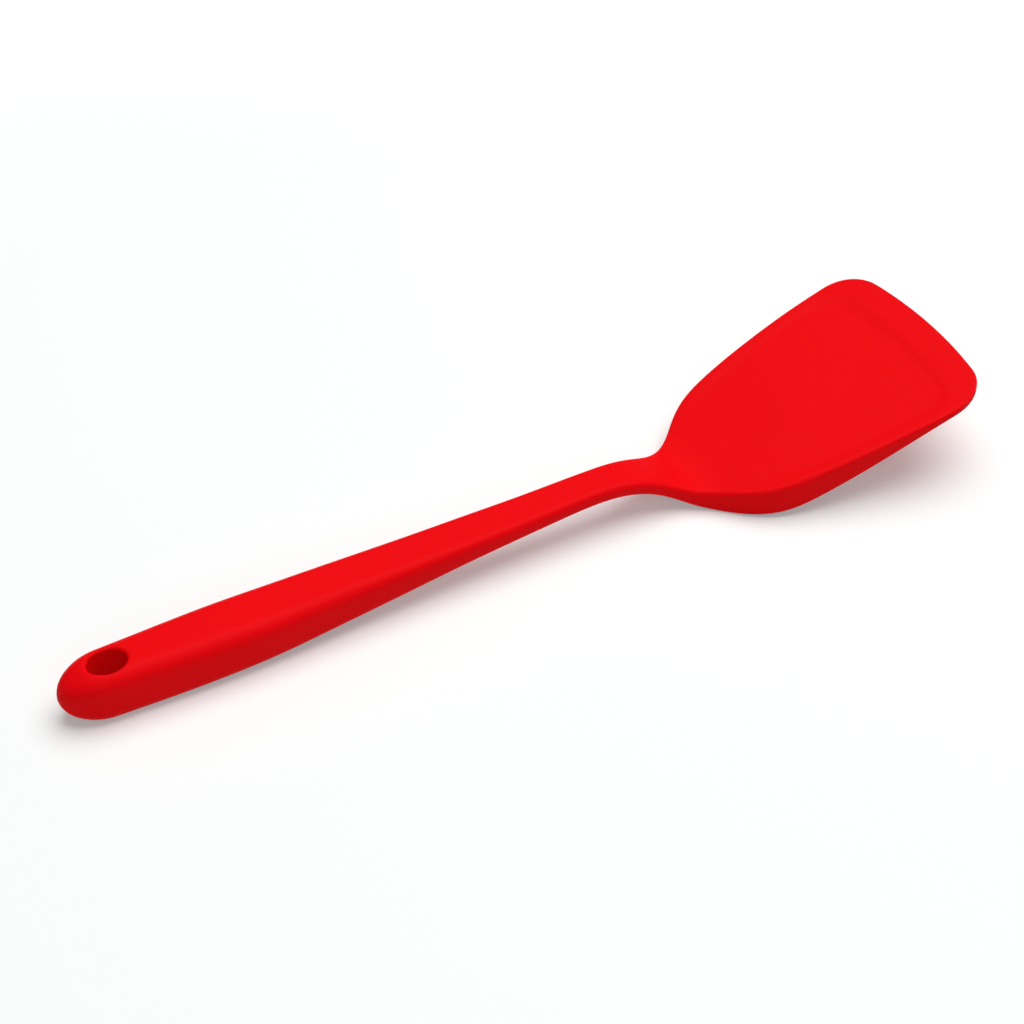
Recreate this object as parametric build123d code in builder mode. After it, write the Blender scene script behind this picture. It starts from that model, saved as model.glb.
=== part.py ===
from build123d import *
from math import atan2, cos, radians, sin, tan
import os

os.makedirs("parts", exist_ok=True)

# A one-piece silicone turner, lying as it rests on a worktop: on the butt of its handle
# and the heel of its blade. X runs from butt to lip, Y across and Z up. The origin is on
# the worktop, under the middle of the length.
handle_length = 200.0
crank_length = 60.0
blade_length = 80.0

grip_width = 22.4
neck_width = 13.8
blade_width = 84.0

butt_thickness = 19.4
neck_thickness = 5.8
heel_thickness = 12.1
lip_thickness = 1.6

neck_clearance = 12.6
lip_clearance = 32.7

# Domed butt, and the bowed front edge with its two round corners
butt_round = 16.7
lip_bow_radius = 190.0
lip_corner_radius = 17.0
lip_edge_radius = 0.6

# Hang hole through the butt
hole_diameter = 11.0
hole_setback = 17.6
hole_edge_radius = 1.5

# Shallow panel on the upper face of the blade, between a raised rim and the thin lip
rim_width = 4.5
lip_band = 13.5
panel_depth = 0.9
panel_corner_radius = 12.0
panel_wall_angle = 35.0

# Nylon handle core inside the silicone, with holes that the silicone keys into
core_cover = 1.6
core_edge_chamfer = 2.2
core_end_chamfer = 1.2
core_hole_diameter = 6.0
core_hole_spacing = 18.0
core_hole_count = 3
core_hole_setback = 12.0

# Steel spine: a flat bar, cranked to follow the neck, its tail moulded into the core
spine_width = 9.0
spine_thickness = 3.0
spine_tail = 104.0
spine_tail_height = 12.0
spine_reach = 26.0
spine_end_radius = 3.0
spine_hole_diameter = 4.0
spine_hole_spacing = 14.0
spine_hole_setback = 8.0
crest_bend_ahead = 11.5
crest_bend_lift = 0.4
crest_bend_radius = 50.0
heel_bend_behind = 23.7
heel_bend_radius = 20.0

# Spring-steel stiffener, spot-welded on the spine and stopping short of the soft lip
stiffener_thickness = 0.8
stiffener_heel_cover = 2.2
stiffener_lip_cover = 1.2
stiffener_edge = 6.5
stiffener_tab_length = 10.0
stiffener_tab_width = 28.0
stiffener_front_radius = 10.0
stiffener_tab_radius = 5.0
lip_flex = 20.0
slot_width = 5.0
slot_length = 30.0
slot_pitch = 10.0
slot_setback = 29.0

overrun = 5.0

# Sections of the silicone, as shares of the sizes at the two ends of each zone. A row is
# the place along the zone, the clearance under it, its thickness, its width and its
# corner radius, the last as a share of its own thickness. Down the handle the sizes go
# from butt and grip (1) to the neck (0), over the crank from neck (0) to heel and blade
# (1), and along the blade from heel (0 and 1) to lip (1 and 0).
handle_shares = (
    (0.085, 1.000, 1.000, 0.69, 0.31),
    (0.125, 0.996, 0.985, 0.77, 0.31),
    (0.170, 0.990, 0.970, 0.86, 0.31),
    (0.230, 0.970, 0.945, 0.95, 0.31),
    (0.300, 0.935, 0.900, 1.00, 0.31),
    (0.380, 0.865, 0.810, 0.94, 0.31),
    (0.470, 0.730, 0.680, 0.77, 0.31),
    (0.570, 0.565, 0.510, 0.58, 0.31),
    (0.670, 0.385, 0.330, 0.41, 0.31),
    (0.770, 0.215, 0.165, 0.25, 0.31),
    (0.870, 0.095, 0.060, 0.10, 0.31),
    (0.940, 0.020, 0.015, 0.02, 0.31),
    (1.000, 0.000, 0.000, 0.00, 0.31),
)
crank_shares = (
    (0.10, 0.970, 0.000, 0.007, 0.31),
    (0.20, 0.885, 0.015, 0.018, 0.31),
    (0.30, 0.735, 0.030, 0.036, 0.31),
    (0.40, 0.510, 0.065, 0.070, 0.30),
    (0.48, 0.305, 0.125, 0.120, 0.28),
    (0.56, 0.120, 0.240, 0.193, 0.25),
    (0.63, 0.028, 0.370, 0.275, 0.22),
    (0.70, 0.000, 0.515, 0.378, 0.19),
    (0.77, 0.022, 0.645, 0.490, 0.17),
    (0.83, 0.055, 0.755, 0.583, 0.15),
    (0.90, 0.100, 0.870, 0.661, 0.14),
    (1.00, 0.185, 1.000, 0.733, 0.13),
)
blade_shares = (
    (0.100, 0.085, 0.980, 0.792, 0.13),
    (0.225, 0.222, 0.860, 0.848, 0.14),
    (0.375, 0.391, 0.685, 0.903, 0.16),
    (0.550, 0.589, 0.460, 0.953, 0.20),
    (0.750, 0.790, 0.225, 0.990, 0.26),
    (1.000, 1.000, 0.000, 1.010, 0.31),
    (1.100, 1.075, -0.030, 1.015, 0.31),
)
# How much of its full depth the panel has at the sections from the heel to the lip. It
# fades out at the heel, where it would stand above the silicone.
panel_depth_shares = (-0.5, 0.4, 0.85, 1.0, 1.0, 1.0, 1.0, 1.0)
# The dome of the butt is a quarter ellipse, taken at these turns in degrees
butt_turns = (10, 28, 46, 64, 78)
# The lofted stretches, from section to section counted from the butt, and whether the
# stretch runs straight from one section to the next or curves through them
body_stretches = (
    (0, 5, False),
    (5, 15, True),
    (15, 17, False),
    (17, 21, False),
    (21, 25, False),
    (25, 29, False),
    (29, 36, True),
)

length = handle_length + crank_length + blade_length
butt_x = -length / 2
crest_x = butt_x + handle_length
heel_x = crest_x + crank_length
lip_x = heel_x + blade_length
hole_x = butt_x + hole_setback


def between(start, end, share):
    return start + (end - start) * share


# Each section is its place along X, clearance, thickness, width and corner radius
def handle_section(place, clearance, thickness, width, corner):
    section_thickness = between(neck_thickness, butt_thickness, thickness)
    return (
        butt_x + handle_length * place,
        between(neck_clearance, 0, clearance),
        section_thickness,
        between(neck_width, grip_width, width),
        section_thickness * corner,
    )


def crank_section(place, clearance, thickness, width, corner):
    section_thickness = between(neck_thickness, heel_thickness, thickness)
    return (
        crest_x + crank_length * place,
        neck_clearance * clearance,
        section_thickness,
        between(neck_width, blade_width, width),
        section_thickness * corner,
    )


def blade_section(place, clearance, thickness, width, corner):
    heel_clearance = neck_clearance * crank_shares[-1][1]
    section_thickness = between(lip_thickness, heel_thickness, thickness)
    return (
        heel_x + blade_length * place,
        between(heel_clearance, lip_clearance, clearance),
        section_thickness,
        between(neck_width, blade_width, width),
        section_thickness * corner,
    )


def butt_section(turn):
    place, clearance, thickness, width, corner = handle_section(*handle_shares[0])
    first_turn = radians(butt_turns[0])
    size = sin(radians(turn))
    return (
        butt_x + butt_round * (cos(first_turn) - cos(radians(turn))),
        clearance + thickness * (1 - size) / 2,
        thickness * size,
        width * size,
        corner * size,
    )


def outlines(rows, cover=0):
    faces = []
    for place, clearance, thickness, width, corner in rows:
        with BuildSketch(Plane.YZ.offset(place)) as outline:
            with Locations((0, clearance + thickness / 2)):
                RectangleRounded(
                    width - 2 * cover,
                    thickness - 2 * cover,
                    corner * (1 - 2 * cover / thickness),
                )
        faces.append(outline.sketch)
    return faces


butt_sections = [butt_section(turn) for turn in butt_turns]
handle_sections = [handle_section(*row) for row in handle_shares]
crank_sections = [crank_section(*row) for row in crank_shares]
blade_sections = [blade_section(*row) for row in blade_shares]
sections = butt_sections + handle_sections + crank_sections + blade_sections


# The body is lofted in stretches. A curved one runs a section past its ends, where there
# is one, and is cut back there, so that neighbouring stretches meet in line.
def body_stretch(first, last, straight):
    with BuildPart() as stretch:
        if straight:
            loft(outlines(sections[first : last + 1]), ruled=True)
        else:
            start = max(first - 1, 0)
            loft(outlines(sections[start : last + 2]))
            if start < first:
                split(bisect_by=Plane.YZ.offset(sections[first][0]), keep=Keep.TOP)
            split(bisect_by=Plane.YZ.offset(sections[last][0]), keep=Keep.BOTTOM)
    return stretch.part


with BuildPart() as body:
    add([body_stretch(*row) for row in body_stretches])

# The panel's floor runs parallel to the lofted top, a little below it
panel_rows = [crank_sections[-3], crank_sections[-1]] + blade_sections[:6]
panel_floor = [
    (place, clearance + thickness - panel_depth * share)
    for (place, clearance, thickness, width, corner), share in zip(panel_rows, panel_depth_shares)
]
panel_start = panel_floor[1]
panel_end = panel_floor[-2]
panel_pitch = atan2(panel_end[1] - panel_start[1], panel_end[0] - panel_start[0])


def pitched_plane(x, z, pitch):
    return Plane(
        origin=(x, 0, z),
        x_dir=(cos(pitch), 0, sin(pitch)),
        z_dir=(-sin(pitch), 0, cos(pitch)),
    )


with BuildPart() as panel_cutter:
    with BuildSketch(pitched_plane(*panel_start, panel_pitch)) as panel_outline:
        panel_run = (lip_x - lip_band - panel_start[0]) / cos(panel_pitch)
        front_half = blade_width / 2 - rim_width
        rear_half = crank_sections[-1][3] / 2 - rim_width
        bow = lip_bow_radius - (lip_bow_radius**2 - front_half**2) ** 0.5
        with BuildLine():
            front = ThreePointArc(
                (panel_run - bow, -front_half), (panel_run, 0), (panel_run - bow, front_half)
            )
            Polyline(
                front @ 1,
                (0, rear_half),
                (-3 * rim_width, rear_half - 2 * rim_width),
                (-3 * rim_width, 2 * rim_width - rear_half),
                (0, -rear_half),
                front @ 0,
            )
        make_face()
        fillet(panel_outline.vertices().group_by(Axis.X)[-1], panel_corner_radius)
    extrude(amount=heel_thickness, taper=-panel_wall_angle)
    with BuildSketch(Plane.XZ):
        with BuildLine():
            floor = Spline(*panel_floor)
            Polyline(
                floor @ 1,
                (floor @ 1) + Vector(0, 3 * heel_thickness),
                (floor @ 0) + Vector(0, 3 * heel_thickness),
                floor @ 0,
            )
        make_face()
    extrude(amount=blade_width, both=True, mode=Mode.INTERSECT)

# The stiffener's upper face lies under the panel, nearer to it towards the lip
stiffener_start = (panel_start[0], panel_start[1] - stiffener_heel_cover)
stiffener_end_x = lip_x - lip_flex
panel_rise = (stiffener_end_x - panel_start[0]) * tan(panel_pitch)
stiffener_end = (stiffener_end_x, panel_start[1] + panel_rise - stiffener_lip_cover)
stiffener_pitch = atan2(
    stiffener_end[1] - stiffener_start[1], stiffener_end[0] - stiffener_start[0]
)

with BuildPart() as blade_stiffener:
    with BuildSketch(pitched_plane(*stiffener_start, stiffener_pitch)) as sheet:
        sheet_run = (stiffener_end[0] - stiffener_start[0]) / cos(stiffener_pitch)
        front_half = blade_sections[4][3] / 2 - stiffener_edge
        rear_half = crank_sections[-1][3] / 2 - stiffener_edge
        tab_half = stiffener_tab_width / 2
        with BuildLine():
            Polyline(
                (sheet_run, -front_half),
                (sheet_run, front_half),
                (0, rear_half),
                (-stiffener_tab_length, tab_half),
                (-stiffener_tab_length, -tab_half),
                (0, -rear_half),
                (sheet_run, -front_half),
            )
        make_face()
        fillet(sheet.vertices().group_by(Axis.X)[-1], stiffener_front_radius)
        fillet(sheet.vertices().group_by(Axis.X)[0], stiffener_tab_radius)
        for row in (1, 2):
            with Locations((slot_setback, 0)):
                with GridLocations(0, 2 * slot_pitch * row, 1, 2):
                    SlotOverall(slot_length, slot_width, mode=Mode.SUBTRACT)
    extrude(amount=-stiffener_thickness)

with BuildPart() as spine_bar:
    drop = (stiffener_thickness + spine_thickness / 2) / cos(stiffener_pitch)
    rise = tan(stiffener_pitch)
    heel_line = stiffener_start[1] - drop
    with BuildLine(Plane.XZ) as route:
        FilletPolyline(
            (crest_x - spine_tail, spine_tail_height),
            (crest_x + crest_bend_ahead, neck_clearance + neck_thickness / 2 + crest_bend_lift),
            (heel_x - heel_bend_behind, heel_line - heel_bend_behind * rise),
            (heel_x + spine_reach, heel_line + spine_reach * rise),
            radius=[crest_bend_radius, heel_bend_radius],
        )
    with BuildSketch(Plane(origin=route.line @ 0, x_dir=(0, 1, 0), z_dir=route.line % 0)):
        Rectangle(spine_width, spine_thickness)
    sweep()
    for end in (0, -1):
        corners = spine_bar.faces().sort_by(Axis.X)[end].edges().sort_by(Axis.Y)
        fillet([corners[0], corners[-1]], spine_end_radius)
    first_hole = crest_x - spine_tail + spine_hole_setback
    for place in (first_hole, first_hole + spine_hole_spacing):
        with Locations((place, 0, spine_tail_height)):
            Cylinder(spine_hole_diameter / 2, butt_thickness, mode=Mode.SUBTRACT)

with BuildPart() as handle_core:
    core_sections = [handle_sections[2], handle_sections[9]]
    underside = [(row[0], row[1] + core_cover) for row in core_sections]
    top = [(row[0], row[1] + row[2] - core_cover) for row in core_sections]
    right = [(row[0], core_cover - row[3] / 2) for row in core_sections]
    left = [(row[0], row[3] / 2 - core_cover) for row in core_sections]
    with BuildSketch(Plane.XZ):
        with BuildLine():
            Polyline(*underside, *reversed(top), close=True)
        make_face()
    extrude(amount=grip_width, both=True)
    with BuildSketch():
        with BuildLine():
            Polyline(*right, *reversed(left), close=True)
        make_face()
    extrude(amount=2 * butt_thickness, mode=Mode.INTERSECT)
    chamfer(
        handle_core.edges().filter_by(lambda edge: edge.length > grip_width),
        core_edge_chamfer,
    )
    chamfer(handle_core.faces().sort_by(Axis.X)[0].edges(), core_end_chamfer)
    first_hole = core_sections[0][0] + core_hole_setback
    for index in range(core_hole_count):
        with Locations((first_hole + core_hole_spacing * index, 0, butt_thickness / 2)):
            Cylinder(core_hole_diameter / 2, 2 * butt_thickness, mode=Mode.SUBTRACT)
    add(spine_bar.part, mode=Mode.SUBTRACT)

with BuildPart() as silicone_skin:
    add(body.part)
    with BuildSketch() as plan:
        half_width = blade_width / 2
        bow = lip_bow_radius - (lip_bow_radius**2 - half_width**2) ** 0.5
        rear_x = butt_x - overrun
        with BuildLine():
            front = ThreePointArc((lip_x - bow, -half_width), (lip_x, 0), (lip_x - bow, half_width))
            Polyline(front @ 1, (rear_x, half_width), (rear_x, -half_width), front @ 0)
        make_face()
        fillet(plan.vertices().group_by(Axis.X)[-1], lip_corner_radius)
    extrude(amount=lip_clearance + blade_width, both=True, mode=Mode.INTERSECT)
    lip_faces = silicone_skin.faces().filter_by(GeomType.CYLINDER)
    lip_edges = lip_faces.edges().filter_by(lambda edge: edge.length > 2.5 * lip_thickness)
    fillet(lip_edges, lip_edge_radius)
    add(panel_cutter.part, mode=Mode.SUBTRACT)
    with Locations((hole_x, 0, 0)):
        Cylinder(hole_diameter / 2, 3 * butt_thickness, mode=Mode.SUBTRACT)
    bore = silicone_skin.faces().filter_by(GeomType.CYLINDER).sort_by(Axis.X)[0]
    fillet(bore.edges().filter_by(GeomType.LINE, reverse=True), hole_edge_radius)
    add(handle_core.part, mode=Mode.SUBTRACT)
    add(spine_bar.part, mode=Mode.SUBTRACT)
    add(blade_stiffener.part, mode=Mode.SUBTRACT)

silicone_skin.part.label = "silicone_skin"
handle_core.part.label = "handle_core"
spine_bar.part.label = "spine_bar"
blade_stiffener.part.label = "blade_stiffener"
export_step(silicone_skin.part, "parts/silicone_skin.step")
export_step(handle_core.part, "parts/handle_core.step")
export_step(spine_bar.part, "parts/spine_bar.step")
export_step(blade_stiffener.part, "parts/blade_stiffener.step")
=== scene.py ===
import bpy
import bmesh
import math
import numpy as np
from mathutils import Matrix, Vector


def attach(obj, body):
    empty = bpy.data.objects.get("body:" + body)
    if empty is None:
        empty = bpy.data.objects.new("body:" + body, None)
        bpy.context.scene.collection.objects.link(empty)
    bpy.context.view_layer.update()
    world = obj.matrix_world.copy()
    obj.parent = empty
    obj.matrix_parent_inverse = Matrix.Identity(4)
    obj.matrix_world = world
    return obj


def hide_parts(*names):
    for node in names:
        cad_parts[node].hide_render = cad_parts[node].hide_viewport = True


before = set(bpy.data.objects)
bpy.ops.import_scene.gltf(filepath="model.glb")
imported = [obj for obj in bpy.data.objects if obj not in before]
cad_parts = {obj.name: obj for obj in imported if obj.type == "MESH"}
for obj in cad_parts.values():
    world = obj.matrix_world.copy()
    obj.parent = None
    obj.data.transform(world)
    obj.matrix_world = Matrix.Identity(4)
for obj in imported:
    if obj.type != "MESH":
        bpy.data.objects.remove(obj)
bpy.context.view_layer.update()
mm = 0.001
print("frame loaded:", ", ".join(sorted(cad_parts)))


# Small helpers

def toLinear(hexCode):
    # sRGB hex to the linear colour a shader wants
    parts = [int(hexCode[i:i + 2], 16) / 255 for i in (1, 3, 5)]
    return tuple(c / 12.92 if c <= 0.04045 else ((c + 0.055) / 1.055) ** 2.4 for c in parts) + (1.0,)


def addNode(tree, kind, settings=None, links=None, **inputs):
    # settings are node properties, links map a socket to an output, inputs are socket values
    node = tree.nodes.new(kind)
    for name, value in (settings or {}).items():
        setattr(node, name, value)
    for name, value in inputs.items():
        node.inputs[name.replace("_", " ")].default_value = value
    for name, output in (links or {}).items():
        tree.links.new(output, node.inputs[name])
    return node


def newMaterial(name):
    material = bpy.data.materials.new(name)
    material.use_nodes = True
    tree = material.node_tree
    tree.nodes.clear()
    return material, tree


def smoothCurve(knots, values):
    # natural cubic through the stations, straight on past both ends
    knots, values = np.array(knots, float), np.array(values, float)
    gaps = np.diff(knots)
    size = len(knots)
    matrix, right = np.eye(size), np.zeros(size)
    for i in range(1, size - 1):
        matrix[i, i - 1], matrix[i, i], matrix[i, i + 1] = gaps[i - 1], 2 * (gaps[i - 1] + gaps[i]), gaps[i]
        right[i] = 6 * ((values[i + 1] - values[i]) / gaps[i] - (values[i] - values[i - 1]) / gaps[i - 1])
    bend = np.linalg.solve(matrix, right)

    def at(x):
        x = np.asarray(x, float)
        i = np.clip(np.searchsorted(knots, x) - 1, 0, size - 2)
        a, b, gap = knots[i + 1] - x, x - knots[i], gaps[i]
        inside = (bend[i] * a ** 3 + bend[i + 1] * b ** 3) / (6 * gap) + (
            (values[i] / gap - bend[i] * gap / 6) * a + (values[i + 1] / gap - bend[i + 1] * gap / 6) * b)
        slopeStart = (values[1] - values[0]) / gaps[0] - gaps[0] * bend[1] / 6
        slopeEnd = (values[-1] - values[-2]) / gaps[-1] + gaps[-1] * bend[-2] / 6
        low = values[0] + slopeStart * (x - knots[0])
        high = values[-1] + slopeEnd * (x - knots[-1])
        return np.where(x < knots[0], low, np.where(x > knots[-1], high, inside))
    return at


def ease(x, start, end):
    t = np.clip((np.asarray(x, float) - start) / (end - start), 0, 1)
    return t * t * (3 - 2 * t)


# The turner's silicone: its form, in millimetres from the butt of the handle

turner = {
    "length": 340.0,
    "buttDome": 16.45,          # how far the round end reaches along the handle
    "holeAt": 17.8,
    "holeRadius": 5.5,
    "holeStretch": 1.22,        # the mouth is a little longer along the handle than across it
    "holeLip": 1.4,             # the soft edge of the hang hole
    "neckEnd": 200.0,           # from here the handle's lines spread into those of the blade
    "bladeFrom": 236.0,         # from here the rings follow the blade's edges
    "bladeFull": 244.0,         # from here the rim and the panel have their full width
    "lipBow": 190.0,            # radius of the bowed front edge
    "lipCorner": 17.0,
    "lipCornerLeast": 0.6,      # share of that radius which the lines inside the edge keep at least
    "lipEdge": 0.72,            # nearly a full round on a 1.6 mm lip
    "roundLimit": 0.47,         # a rounded corner takes no more of the thickness than this share
    "rim": 1.8,                 # from the side edges in to the panel's slope
    "lipBand": 10.6,            # and from the front edge in
    "sideSlope": 5.0,           # the soft slope from rim to panel, at the sides
    "lipSlope": 4.2,            # and behind the lip
    "panelDepth": 0.5,
    "panelCorner": 10.0,
    "panelFadeFrom": 244.0,     # the panel runs out over the heel
    "panelFadeTo": 268.0,
}

# place, width, underside, top, corner radius
stations = [
    (17.0, 19.73, 0.00, 19.40, 6.01), (25.0, 20.42, 0.05, 19.25, 5.95),
    (34.0, 21.20, 0.13, 19.12, 5.89), (46.0, 21.97, 0.38, 19.03, 5.78),
    (60.0, 22.40, 0.82, 18.86, 5.59), (76.0, 21.88, 1.70, 18.52, 5.21),
    (94.0, 20.42, 3.40, 18.45, 4.66), (114.0, 18.79, 5.48, 18.22, 3.95),
    (134.0, 17.48, 7.75, 18.04, 3.45), (154.0, 16.25, 9.89, 17.94, 2.80),
    (174.0, 15.01, 11.40, 18.02, 2.45), (188.0, 14.37, 12.35, 18.35, 2.35),
    (200.0, 14.20, 12.60, 18.40, 2.30), (206.0, 14.69, 12.22, 18.02, 2.30),
    (212.0, 15.46, 11.15, 17.05, 2.30), (218.0, 16.73, 9.26, 15.25, 2.30),
    (224.0, 19.01, 6.43, 12.64, 2.30), (228.8, 22.42, 3.84, 10.43, 2.25),
    (233.6, 27.45, 1.51, 8.82, 2.15), (237.8, 33.11, 0.35, 8.48, 2.00),
    (242.0, 40.34, 0.00, 9.04, 1.85), (246.2, 48.20, 0.28, 10.14, 1.70),
    (249.8, 54.00, 0.69, 11.20, 1.58), (254.0, 59.40, 1.26, 12.35, 1.58),
    (260.0, 64.50, 2.33, 14.10, 1.57), (268.0, 68.90, 4.91, 16.35, 1.55),
    (278.0, 73.00, 9.07, 19.10, 1.49), (290.0, 77.00, 14.21, 22.20, 1.41),
    (304.0, 80.65, 20.22, 25.70, 1.29), (320.0, 83.30, 26.32, 29.40, 1.03),
    (340.0, 84.70, 32.70, 34.30, 0.72),
]
places = [row[0] for row in stations]
widthAt, underAt, topAt, cornerAt = (smoothCurve(places, [row[k] for row in stations]) for k in range(1, 5))


def buttShare(x):
    # the round end shrinks width and thickness together, as a quarter ellipse
    t = np.clip(1 - np.asarray(x, float) / turner["buttDome"], 0, 1)
    return np.sqrt(np.maximum(1 - t * t, 0))


def halfWidth(x):
    return widthAt(x) / 2 * buttShare(x)


def heights(x):
    under, top = underAt(x), topAt(x)
    middle, half = (under + top) / 2, (top - under) / 2 * buttShare(x)
    return middle - half, middle + half


def corner(x):
    return cornerAt(x) * buttShare(x)


def roundDrop(inset, radius):
    # how far the round corner lies below the flat, at that distance in from the edge
    out = np.clip(radius - inset, 0, radius)
    return radius - np.sqrt(np.maximum(radius ** 2 - out ** 2, 0))


# How finely the skin is divided. Its lines run the length of the body, and its rings go across
grid = {
    "arc": 8,                   # lines from the outer edge inwards: over the round corner,
    "rim": 4,                   # the rim
    "wall": 6,                  # and the slope of the panel
    "corner": 10,               # each round the front corners
    "floor": 12,                # and over half of the panel's floor
    "side": 4,                  # rows down the side wall
    "blade": 46,                # rings along the straight sides of the blade
    "domeTurns": (4, 8, 13, 18, 24, 30, 36, 42, 48, 54, 60, 65, 70, 75, 80, 85, 90),  # degrees
    "holeStep": 1.25,           # mm between the rings round the hang hole
    "holeEnd": 28.0,            # mm from the butt, where those end
    "handleRings": 76,
    "crankRings": 31,
    "handleRim": 0.35,          # shares of the handle's flat top that rim and slope lines spread over
    "handleWall": 0.15,
    "holeRoom": 0.8,            # mm kept between the hole's lip and the rings and lines round it
    "holeSpread": (0.35, 0.7, 1.0),  # shares of the way in to the hole's lip
    "bore": 6,                  # rows down the bore
    "meetRounds": 6,            # rounds in which the corner point of the blade is closed in on
    "weld": 1e-7,               # metres
}
edgeLines = grid["arc"] + grid["rim"] + grid["wall"]
halfLines = edgeLines + grid["corner"] + grid["floor"]
lastLine = 2 * halfLines
wallSteps = [k / grid["wall"] for k in range(grid["wall"] + 1)]
wallDrops = [t * t * (3 - 2 * t) for t in wallSteps]


def lineInsets(x, radius, band, slope):
    # how far in from the edge each line lies
    half = halfWidth(x)
    inBlade = ease(x, turner["neckEnd"], turner["bladeFull"])
    rimEnd = radius + (half - radius) * grid["handleRim"] * (1 - inBlade) + (band - radius) * inBlade
    run = slope * inBlade + grid["handleWall"] * (half - radius) * (1 - inBlade)
    insets = [radius * (1 - math.cos(math.pi / 2 * k / grid["arc"])) for k in range(grid["arc"] + 1)]
    insets += [radius + (rimEnd - radius) * k / grid["rim"] for k in range(1, grid["rim"] + 1)]
    insets += [rimEnd + run * step for step in wallSteps[1:]]
    return insets


# the share of the panel's depth that each line has
panelShares = [0.0] * (grid["arc"] + grid["rim"] + 1) + wallDrops[1:]


def bow(y):
    return turner["lipBow"] - math.sqrt(turner["lipBow"] ** 2 - y * y)


# Places of the straight rings across butt, handle, neck and heel
ringPlaces = [turner["buttDome"] * (1 - math.cos(math.radians(turn))) for turn in grid["domeTurns"]]
ringPlaces += list(np.arange(turner["holeAt"], grid["holeEnd"], grid["holeStep"]))
ringPlaces += list(np.linspace(ringPlaces[-1], turner["neckEnd"], grid["handleRings"])[1:])
ringPlaces += list(np.linspace(turner["neckEnd"], turner["bladeFrom"], grid["crankRings"])[1:])
startRing = len(ringPlaces) - 1
cornerRing = startRing + grid["blade"]
lastRing = cornerRing + grid["corner"] + edgeLines


def edgeCurve(k):
    # line k of the blade, from the heel along one side, round the front corner, to the middle of the lip
    atLip = lineInsets(turner["length"], turner["lipEdge"], turner["lipBand"], turner["lipSlope"])
    frontInset = atLip[k]
    share = k / edgeLines
    radius = turner["lipCorner"] * (1 - share) + turner["panelCorner"] * share
    if k <= grid["arc"]:
        radius = max(radius - frontInset, radius * turner["lipCornerLeast"])

    def side(x):
        return float(halfWidth(x)) - lineInsets(x, float(corner(x)), turner["rim"], turner["sideSlope"])[k]

    def front(y):
        return turner["length"] - frontInset - bow(y)

    # where the side line and the front line would meet, and the angle there
    y = side(turner["length"] - frontInset)
    for _ in range(grid["meetRounds"]):
        y = side(front(y))
    meet = np.array([front(y), y])
    sideSlope = side(meet[0]) - side(meet[0] - 1)
    frontSlope = y / math.sqrt(turner["lipBow"] ** 2 - y * y)
    inner = math.acos((sideSlope - frontSlope) / math.hypot(1, sideSlope) / math.hypot(1, frontSlope))
    reach = radius / math.tan(inner / 2)
    sideEnd = meet[0] - reach / math.hypot(1, sideSlope)
    frontEnd = meet[1] - reach / math.hypot(1, frontSlope)
    a = np.array([sideEnd, side(sideEnd)])
    b = np.array([front(frontEnd), frontEnd])
    pull = 4 / 3 * math.tan((math.pi - inner) / 4) * radius / reach
    handles = a + (meet - a) * pull, b + (meet - b) * pull

    def arc(t):
        middle = 3 * (1 - t) ** 2 * t * handles[0] + 3 * (1 - t) * t * t * handles[1]
        return (1 - t) ** 3 * a + middle + t ** 3 * b

    points = {}
    for i in range(grid["blade"] + 1):
        x = turner["bladeFrom"] + (sideEnd - turner["bladeFrom"]) * i / grid["blade"]
        points[("side", startRing + i)] = np.array([x, side(x)])
    turnRings = lastRing - k - cornerRing
    for i in range(1, turnRings + 1):
        points[("side", cornerRing + i)] = arc(0.5 * i / turnRings)
    for j in range(turnRings + 1):
        points[("front", k + j)] = arc(0.5 + 0.5 * j / turnRings)
    for j in range(grid["floor"] + 1):
        y = frontEnd * (1 - j / grid["floor"])
        points[("front", edgeLines + grid["corner"] + j)] = np.array([front(y), y])
    return points


def planGrid():
    # plan position of every ring and line; one half is worked out and mirrored to the other
    mirror = np.array([1, -1])
    plan = np.zeros((lastRing + 1, lastLine + 1, 2))
    curves = [edgeCurve(k) for k in range(edgeLines + 1)]
    for k, points in enumerate(curves):
        for i in range(startRing, lastRing - k + 1):
            x, y = points[("side", i)]
            plan[i, k], plan[i, lastLine - k] = (x, y), (x, -y)
        for c in range(k, halfLines + 1):
            x, y = points[("front", c)]
            plan[lastRing - k, c], plan[lastRing - k, lastLine - c] = (x, y), (x, -y)
    # the floor between them, spread evenly along both sides
    first, last = startRing, lastRing - edgeLines
    side = plan[first:last + 1, edgeLines]
    front = plan[last, edgeLines:lastLine - edgeLines + 1]
    alongSide = np.concatenate([[0], np.cumsum(np.linalg.norm(np.diff(side, axis=0), axis=1))])
    alongSide /= alongSide[-1]
    alongFront = np.concatenate([[0], np.cumsum(np.linalg.norm(np.diff(front, axis=0), axis=1))])
    alongFront /= alongFront[-1]
    start = np.array([side[0] * (1 - v) + side[0] * mirror * v for v in alongFront])
    for i, u in enumerate(alongSide):
        for j, v in enumerate(alongFront):
            across = (1 - v) * side[i] + v * side[i] * mirror
            along = (1 - u) * start[j] + u * front[j]
            backCorners = (1 - u) * ((1 - v) * side[0] + v * side[0] * mirror)
            frontCorners = u * ((1 - v) * front[0] + v * front[-1])
            plan[first + i, edgeLines + j] = along + across - backCorners - frontCorners
    # straight rings of the handle
    for i in range(startRing):
        x = ringPlaces[i]
        half = float(halfWidth(x))
        insets = lineInsets(x, float(corner(x)), turner["rim"], turner["sideSlope"])
        for k, inset in enumerate(insets):
            plan[i, k], plan[i, lastLine - k] = (x, half - inset), (x, inset - half)
        inner = half - insets[-1]
        for j, v in enumerate(alongFront):
            plan[i, edgeLines + j] = (x, inner * (1 - 2 * v))
    return plan


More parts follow.
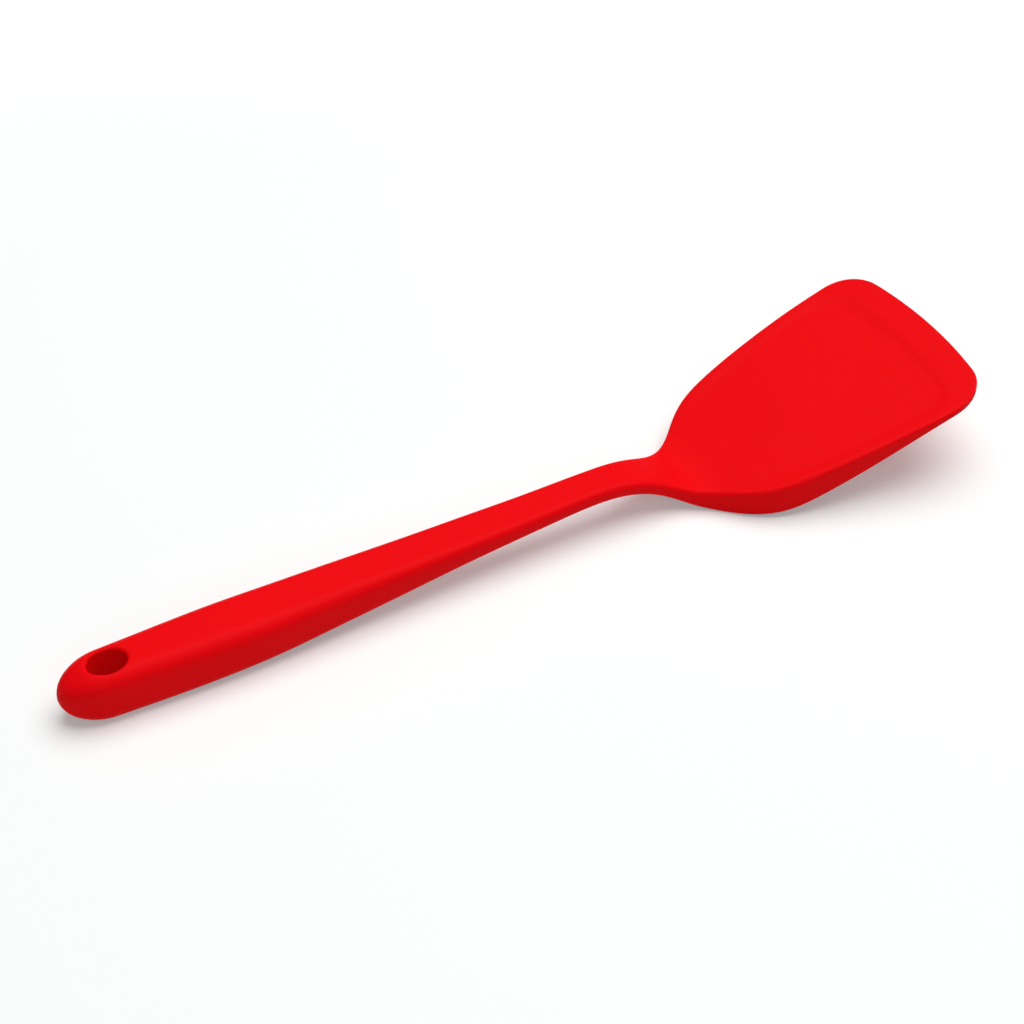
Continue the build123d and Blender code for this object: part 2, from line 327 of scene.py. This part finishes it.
def buildSkin():
    plan = planGrid()
    mesh = bmesh.new()
    x, y = plan[..., 0], plan[..., 1]
    low, high = heights(x)
    radius = corner(x)
    # the line that a grid point lies on, counted in from the nearest edge
    ring, line = np.meshgrid(np.arange(lastRing + 1), np.arange(lastLine + 1), indexing="ij")
    level = np.minimum(np.minimum(line, lastLine - line), lastRing - ring)
    angle = np.pi / 2 * np.clip(level / grid["arc"], 0, 1)
    drop = np.minimum(radius, (high - low) * turner["roundLimit"]) * (1 - np.sin(angle))
    depth = np.array(panelShares)[np.clip(level, 0, edgeLines)]
    fade = ease(x, turner["panelFadeFrom"], turner["panelFadeTo"])
    topZ = high - drop - turner["panelDepth"] * depth * fade
    lowZ = low + drop

    def vertex(px, py, pz):
        return mesh.verts.new(((px - turner["length"] / 2) * mm, py * mm, pz * mm))

    # the block of rings and lines that gives way to the hang hole
    reach = turner["holeRadius"] + turner["holeLip"]
    long = turner["holeStretch"]
    room = reach * long + grid["holeRoom"]
    ringA = max(i for i in range(startRing) if ringPlaces[i] < turner["holeAt"] - room)
    ringB = min(i for i in range(startRing) if ringPlaces[i] > turner["holeAt"] + room)
    lineA = grid["arc"] // 2
    lineB = lastLine - lineA
    inBlock = (ring > ringA) & (ring < ringB) & (line > lineA) & (line < lineB)

    def layer(z):
        return [[None if inBlock[i, c] else vertex(x[i, c], y[i, c], z[i, c]) for c in range(lastLine + 1)]
                for i in range(lastRing + 1)]

    top, under = layer(topZ), layer(lowZ)
    for i in range(lastRing):
        for c in range(lastLine):
            if ringA <= i < ringB and lineA <= c < lineB:
                continue
            mesh.faces.new((top[i][c], top[i][c + 1], top[i + 1][c + 1], top[i + 1][c]))
            mesh.faces.new((under[i][c], under[i + 1][c], under[i + 1][c + 1], under[i][c + 1]))

    # side wall, from the edge line of the top to that of the underside
    around = [(i, 0) for i in range(lastRing + 1)] + [(lastRing, c) for c in range(1, lastLine + 1)]
    around += [(i, lastLine) for i in range(lastRing - 1, -1, -1)]
    wallRows = grid["side"]
    walls = []
    for i, c in around:
        column = [top[i][c]]
        for row in range(1, wallRows):
            share = row / wallRows
            column.append(vertex(x[i, c], y[i, c], topZ[i, c] * (1 - share) + lowZ[i, c] * share))
        walls.append(column + [under[i][c]])
    for a, b in zip(walls, walls[1:]):
        for row in range(wallRows):
            mesh.faces.new((a[row], b[row], b[row + 1], a[row + 1]))

    # the tip of the butt
    tip = vertex(0.0, 0.0, float(sum(heights(0.0)) / 2))
    loop = top[0] + walls[-1][1:-1] + under[0][::-1] + walls[0][1:-1][::-1]
    for a, b in zip(loop, loop[1:] + loop[:1]):
        mesh.faces.new((a, tip, b))

    # the hang hole: rings from the block in to the round mouth, over its soft lip and through
    edge = [(ringA, c) for c in range(lineA, lineB)] + [(i, lineB) for i in range(ringA, ringB)]
    edge += [(ringB, c) for c in range(lineB, lineA, -1)] + [(i, lineA) for i in range(ringB, ringA, -1)]
    angles = [math.atan2(y[p], x[p] - turner["holeAt"]) for p in edge]

    def skinHeight(px, py, upper):
        lowHere, highHere = heights(px)
        fall = roundDrop(float(halfWidth(px)) - abs(py), float(corner(px)))
        return float(highHere - fall) if upper else float(lowHere + fall)

    def holeRings(upper):
        rings = [[(top if upper else under)[i][c] for i, c in edge]]
        for share in grid["holeSpread"]:
            ringVerts = []
            for (i, c), a in zip(edge, angles):
                px = x[i, c] * (1 - share) + (turner["holeAt"] + reach * long * math.cos(a)) * share
                py = y[i, c] * (1 - share) + reach * math.sin(a) * share
                ringVerts.append(vertex(px, py, skinHeight(px, py, upper)))
            rings.append(ringVerts)
        for step in range(1, grid["arc"] + 1):
            turn = math.pi / 2 * step / grid["arc"]
            r = turner["holeRadius"] + turner["holeLip"] * (1 - math.sin(turn))
            sink = turner["holeLip"] * (1 - math.cos(turn))
            ringVerts = []
            for a in angles:
                px, py = turner["holeAt"] + r * long * math.cos(a), r * math.sin(a)
                pz = skinHeight(px, py, upper)
                ringVerts.append(vertex(px, py, pz - sink if upper else pz + sink))
            rings.append(ringVerts)
        return rings

    upper, lower = holeRings(True), holeRings(False)
    bore = []
    for row in range(1, grid["bore"]):
        share = row / grid["bore"]
        bore.append([mesh.verts.new(a.co.lerp(b.co, share)) for a, b in zip(upper[-1], lower[-1])])
    rings = upper + bore + lower[::-1]
    for a, b in zip(rings, rings[1:]):
        for n in range(len(edge)):
            m = (n + 1) % len(edge)
            mesh.faces.new((a[n], a[m], b[m], b[n]))

    bmesh.ops.remove_doubles(mesh, verts=mesh.verts, dist=grid["weld"])
    bmesh.ops.recalc_face_normals(mesh, faces=mesh.faces)
    data = bpy.data.meshes.new("siliconeTurner")
    mesh.to_mesh(data)
    mesh.free()
    for face in data.polygons:
        face.use_smooth = True
    skin = bpy.data.objects.new("siliconeTurner", data)
    bpy.context.scene.collection.objects.link(skin)
    print("silicone skin:", len(data.vertices), "points,", len(data.polygons), "faces")
    return skin


# Materials

silicone = {
    "red": "#F2060F",
    "redDeep": "#EC050E",
    "roughness": 0.5,
    "roughnessSpread": 0.05,
    "ior": 1.41,
    "shine": 0.05,              # below a clean surface's 0.5: the blasted mould breaks up the mirror part
    "milkiness": 0.06,
    "milkyReach": (1.0, 0.16, 0.12),
    "milkyDepth": 1.4,          # mm
    "cloudSize": 38.0,          # mm, slow drift of the pigment
    "grainSize": 0.55,          # mm; the blasted mould's grain is 0.15 mm, drawn coarser so it shows
    "grainHeight": 0.012,       # mm
}


def mouldedSilicone():
    # compression-moulded silicone: even deep colour, a satin face with a soft broad glow,
    # slightly milky inside
    material, tree = newMaterial("mouldedSilicone")
    where = addNode(tree, "ShaderNodeTexCoord").outputs["Object"]
    cloud = addNode(tree, "ShaderNodeTexNoise", links={"Vector": where},
                    Scale=1 / (silicone["cloudSize"] * mm), Detail=2.0, Roughness=0.5)
    colour = addNode(tree, "ShaderNodeMix", {"data_type": "RGBA"}, {"Factor": cloud.outputs["Fac"]})
    colour.inputs[6].default_value = toLinear(silicone["redDeep"])
    colour.inputs[7].default_value = toLinear(silicone["red"])
    grain = addNode(tree, "ShaderNodeTexNoise", links={"Vector": where},
                    Scale=1 / (silicone["grainSize"] * mm), Detail=3.0, Roughness=0.6)
    rough = addNode(tree, "ShaderNodeMapRange", links={"Value": grain.outputs["Fac"]})
    rough.inputs["To Min"].default_value = silicone["roughness"] - silicone["roughnessSpread"]
    rough.inputs["To Max"].default_value = silicone["roughness"] + silicone["roughnessSpread"]
    bump = addNode(tree, "ShaderNodeBump", links={"Height": grain.outputs["Fac"]},
                   Strength=1.0, Distance=silicone["grainHeight"] * mm)
    shader = addNode(tree, "ShaderNodeBsdfPrincipled",
                     links={"Base Color": colour.outputs[2], "Roughness": rough.outputs["Result"],
                            "Normal": bump.outputs["Normal"]},
                     IOR=silicone["ior"])
    shader.inputs["Specular IOR Level"].default_value = silicone["shine"]
    shader.inputs["Subsurface Weight"].default_value = silicone["milkiness"]
    shader.inputs["Subsurface Radius"].default_value = silicone["milkyReach"]
    shader.inputs["Subsurface Scale"].default_value = silicone["milkyDepth"] * mm
    addNode(tree, "ShaderNodeOutputMaterial", links={"Surface": shader.outputs["BSDF"]})
    return material


nylon = {
    "black": "#232325",
    "fibre": "#3A3A3D",
    "roughness": 0.55,
    "ior": 1.53,
    "fibreWidth": 1.2,          # mm, drawn much coarser than the real fibre so it shows
    "fibreShare": 0.15,         # its width to its length
    "streakHeight": 0.02,       # mm
}


def filledNylon():
    # glass-filled nylon, injection moulded: dull black with faint flow streaks
    material, tree = newMaterial("filledNylon")
    where = addNode(tree, "ShaderNodeTexCoord").outputs["Object"]
    stretch = addNode(tree, "ShaderNodeMapping", links={"Vector": where},
                      Scale=(nylon["fibreShare"], 1.0, 1.0))
    streak = addNode(tree, "ShaderNodeTexNoise", links={"Vector": stretch.outputs["Vector"]},
                     Scale=1 / (nylon["fibreWidth"] * mm), Detail=4.0)
    colour = addNode(tree, "ShaderNodeMix", {"data_type": "RGBA"}, {"Factor": streak.outputs["Fac"]})
    colour.inputs[6].default_value = toLinear(nylon["black"])
    colour.inputs[7].default_value = toLinear(nylon["fibre"])
    bump = addNode(tree, "ShaderNodeBump", links={"Height": streak.outputs["Fac"]},
                   Strength=1.0, Distance=nylon["streakHeight"] * mm)
    shader = addNode(tree, "ShaderNodeBsdfPrincipled",
                     links={"Base Color": colour.outputs[2], "Normal": bump.outputs["Normal"]},
                     Roughness=nylon["roughness"], IOR=nylon["ior"])
    addNode(tree, "ShaderNodeOutputMaterial", links={"Surface": shader.outputs["BSDF"]})
    return material


steel = {
    "bar": "#C6C8CA",
    "sheet": "#BDBFC2",
    "barRoughness": 0.32,
    "sheetRoughness": 0.26,
    "roughnessSpread": 0.08,
    "lineWidth": 0.25,          # mm, the fine lines left by the rolls
    "lineLength": 14.0,
    "lineHeight": 0.004,
}


def rolledSteel(name, hexCode, roughness):
    # cold-rolled stainless: bright, with fine lines along the rolling direction
    material, tree = newMaterial(name)
    where = addNode(tree, "ShaderNodeTexCoord").outputs["Object"]
    share = steel["lineWidth"] / steel["lineLength"]
    stretch = addNode(tree, "ShaderNodeMapping", links={"Vector": where}, Scale=(share, 1.0, 1.0))
    lines = addNode(tree, "ShaderNodeTexNoise", links={"Vector": stretch.outputs["Vector"]},
                    Scale=1 / (steel["lineWidth"] * mm), Detail=2.0)
    rough = addNode(tree, "ShaderNodeMapRange", links={"Value": lines.outputs["Fac"]})
    rough.inputs["To Min"].default_value = roughness - steel["roughnessSpread"]
    rough.inputs["To Max"].default_value = roughness + steel["roughnessSpread"]
    bump = addNode(tree, "ShaderNodeBump", links={"Height": lines.outputs["Fac"]},
                   Strength=1.0, Distance=steel["lineHeight"] * mm)
    shader = addNode(tree, "ShaderNodeBsdfPrincipled",
                     links={"Roughness": rough.outputs["Result"], "Normal": bump.outputs["Normal"]},
                     Metallic=1.0)
    shader.inputs["Base Color"].default_value = toLinear(hexCode)
    addNode(tree, "ShaderNodeOutputMaterial", links={"Surface": shader.outputs["BSDF"]})
    return material


def dress(obj, material):
    obj.data.materials.clear()
    obj.data.materials.append(material)


skin = buildSkin()
dress(skin, mouldedSilicone())
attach(skin, "root")
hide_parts("silicone_skin")
dress(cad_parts["handle_core"], filledNylon())
barSteel = rolledSteel("rolledSteelBar", steel["bar"], steel["barRoughness"])
dress(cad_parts["spine_bar"], barSteel)
sheetSteel = rolledSteel("rolledSpringSheet", steel["sheet"], steel["sheetRoughness"])
dress(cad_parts["blade_stiffener"], sheetSteel)
print("materials on skin, core, spine and stiffener")


# Floor, light and camera

studio = {
    "floorColour": "#E6E1E0",
    "floorSize": 12.0,
    "toothScale": 900.0,        # the paper's tooth, about one a millimetre
    "toothHeight": 0.02,        # mm
    "floorLift": 0.25,          # added white for what the camera sees, so the paper reads as white
    "liftColour": "#E0FFFF",    # on the cool side, which takes the turner's red cast out of its shadow
    "farLift": 0.9,             # the paper far from the lamps is lifted more, so every view ends in white
    "farFrom": 0.25,            # metres from the middle, where that begins
    "farTo": 1.3,               # and where it is whole
    "skyStrength": 0.15,
    "keyWatts": 48.0,
    "keySize": 2.4,
    "keyPlace": (0.55, 0.18, 2.0),
    "fillWatts": 3.6,
    "fillSize": 1.2,
    "fillPlace": (-0.7, -1.3, 1.0),
}


def paperFloor():
    # white paper, with a lift that only the camera, gloss and clear things see
    material, tree = newMaterial("studioPaper")
    where = addNode(tree, "ShaderNodeTexCoord").outputs["Object"]
    tooth = addNode(tree, "ShaderNodeTexNoise", links={"Vector": where},
                    Scale=studio["toothScale"], Detail=2.0)
    bump = addNode(tree, "ShaderNodeBump", links={"Height": tooth.outputs["Fac"]},
                   Strength=1.0, Distance=studio["toothHeight"] * mm)
    paper = addNode(tree, "ShaderNodeBsdfDiffuse", links={"Normal": bump.outputs["Normal"]},
                    Color=toLinear(studio["floorColour"]))
    path = addNode(tree, "ShaderNodeLightPath").outputs
    seen = addNode(tree, "ShaderNodeMath", {"operation": "MAXIMUM"},
                   {0: path["Is Camera Ray"], 1: path["Is Glossy Ray"]})
    seen = addNode(tree, "ShaderNodeMath", {"operation": "MAXIMUM"},
                   {0: seen.outputs[0], 1: path["Is Transmission Ray"]})
    away = addNode(tree, "ShaderNodeVectorMath", {"operation": "LENGTH"}, {"Vector": where})
    far = addNode(tree, "ShaderNodeMapRange", {"interpolation_type": "SMOOTHSTEP"},
                  {"Value": away.outputs["Value"]}, From_Min=studio["farFrom"],
                  From_Max=studio["farTo"], To_Min=0.0, To_Max=studio["farLift"])
    farLift = addNode(tree, "ShaderNodeMath", {"operation": "MULTIPLY"},
                      {0: seen.outputs[0], 1: far.outputs["Result"]})
    farGlow = addNode(tree, "ShaderNodeEmission", links={"Strength": farLift.outputs[0]})
    lift = addNode(tree, "ShaderNodeMath", {"operation": "MULTIPLY"}, {0: seen.outputs[0]})
    lift.inputs[1].default_value = studio["floorLift"]
    glow = addNode(tree, "ShaderNodeEmission", links={"Strength": lift.outputs[0]},
                   Color=toLinear(studio["liftColour"]))
    lit = addNode(tree, "ShaderNodeAddShader",
                  links={0: paper.outputs["BSDF"], 1: farGlow.outputs["Emission"]})
    lit = addNode(tree, "ShaderNodeAddShader",
                  links={0: lit.outputs["Shader"], 1: glow.outputs["Emission"]})
    # clear from below, so that the underside can be looked at through the paper
    behind = addNode(tree, "ShaderNodeNewGeometry").outputs["Backfacing"]
    clear = addNode(tree, "ShaderNodeBsdfTransparent")
    sheet = addNode(tree, "ShaderNodeMixShader",
                    links={"Fac": behind, 1: lit.outputs["Shader"], 2: clear.outputs["BSDF"]})
    addNode(tree, "ShaderNodeOutputMaterial", links={"Surface": sheet.outputs["Shader"]})
    bpy.ops.mesh.primitive_plane_add(size=studio["floorSize"], location=(0, 0, 0))
    floor = bpy.context.object
    floor.name = "studioFloor"
    floor.data.materials.append(material)


def softLamp(name, watts, size, place):
    # a round soft box, aimed at the middle of the turner
    data = bpy.data.lights.new(name, "AREA")
    data.energy = watts
    data.shape = "DISK"
    data.size = size
    lamp = bpy.data.objects.new(name, data)
    lamp.location = place
    lamp.rotation_euler = (-Vector(place)).to_track_quat("-Z", "Y").to_euler()
    bpy.context.scene.collection.objects.link(lamp)


def skyLight():
    world = bpy.data.worlds.new("studioSky")
    bpy.context.scene.world = world
    world.use_nodes = True
    tree = world.node_tree
    tree.nodes.clear()
    path = addNode(tree, "ShaderNodeLightPath")
    strength = addNode(tree, "ShaderNodeMapRange", links={"Value": path.outputs["Is Camera Ray"]})
    strength.inputs["To Min"].default_value = studio["skyStrength"]
    strength.inputs["To Max"].default_value = 1.0
    sky = addNode(tree, "ShaderNodeBackground", links={"Strength": strength.outputs["Result"]})
    sky.inputs["Color"].default_value = (1.0, 1.0, 1.0, 1.0)
    addNode(tree, "ShaderNodeOutputWorld", links={"Surface": sky.outputs["Background"]})


# The photograph's angle, in degrees, metres and millimetres of lens
view = {
    "elevation": 41.104,
    "azimuth": 28.779,
    "roll": -0.599,
    "distance": 0.88388,
    "lens": 90.41,
    "sensor": 36.0,
    "nearest": 0.01,
    "aim": (-0.00159, 0.00304, 0.015),
}


def photoCamera():
    e, a, roll = (math.radians(view[k]) for k in ("elevation", "azimuth", "roll"))
    right = Vector((math.cos(a), -math.sin(a), 0))
    forward = Vector((math.sin(a) * math.cos(e), math.cos(a) * math.cos(e), -math.sin(e)))
    up = right.cross(forward)
    right = right * math.cos(roll) + up * math.sin(roll)
    up = right.cross(forward)
    data = bpy.data.cameras.new("photoCamera")
    data.sensor_width = view["sensor"]
    data.lens = view["lens"]
    data.clip_start = view["nearest"]
    camera = bpy.data.objects.new("photoCamera", data)
    axes = Matrix((right, up, -forward)).transposed().to_4x4()
    axes.translation = Vector(view["aim"]) - forward * view["distance"]
    camera.matrix_world = axes
    bpy.context.scene.collection.objects.link(camera)
    bpy.context.scene.camera = camera


paperFloor()
skyLight()
softLamp("keyLamp", studio["keyWatts"], studio["keySize"], studio["keyPlace"])
softLamp("fillLamp", studio["fillWatts"], studio["fillSize"], studio["fillPlace"])
photoCamera()
bpy.context.scene.view_settings.view_transform = "Standard"
print("studio set")
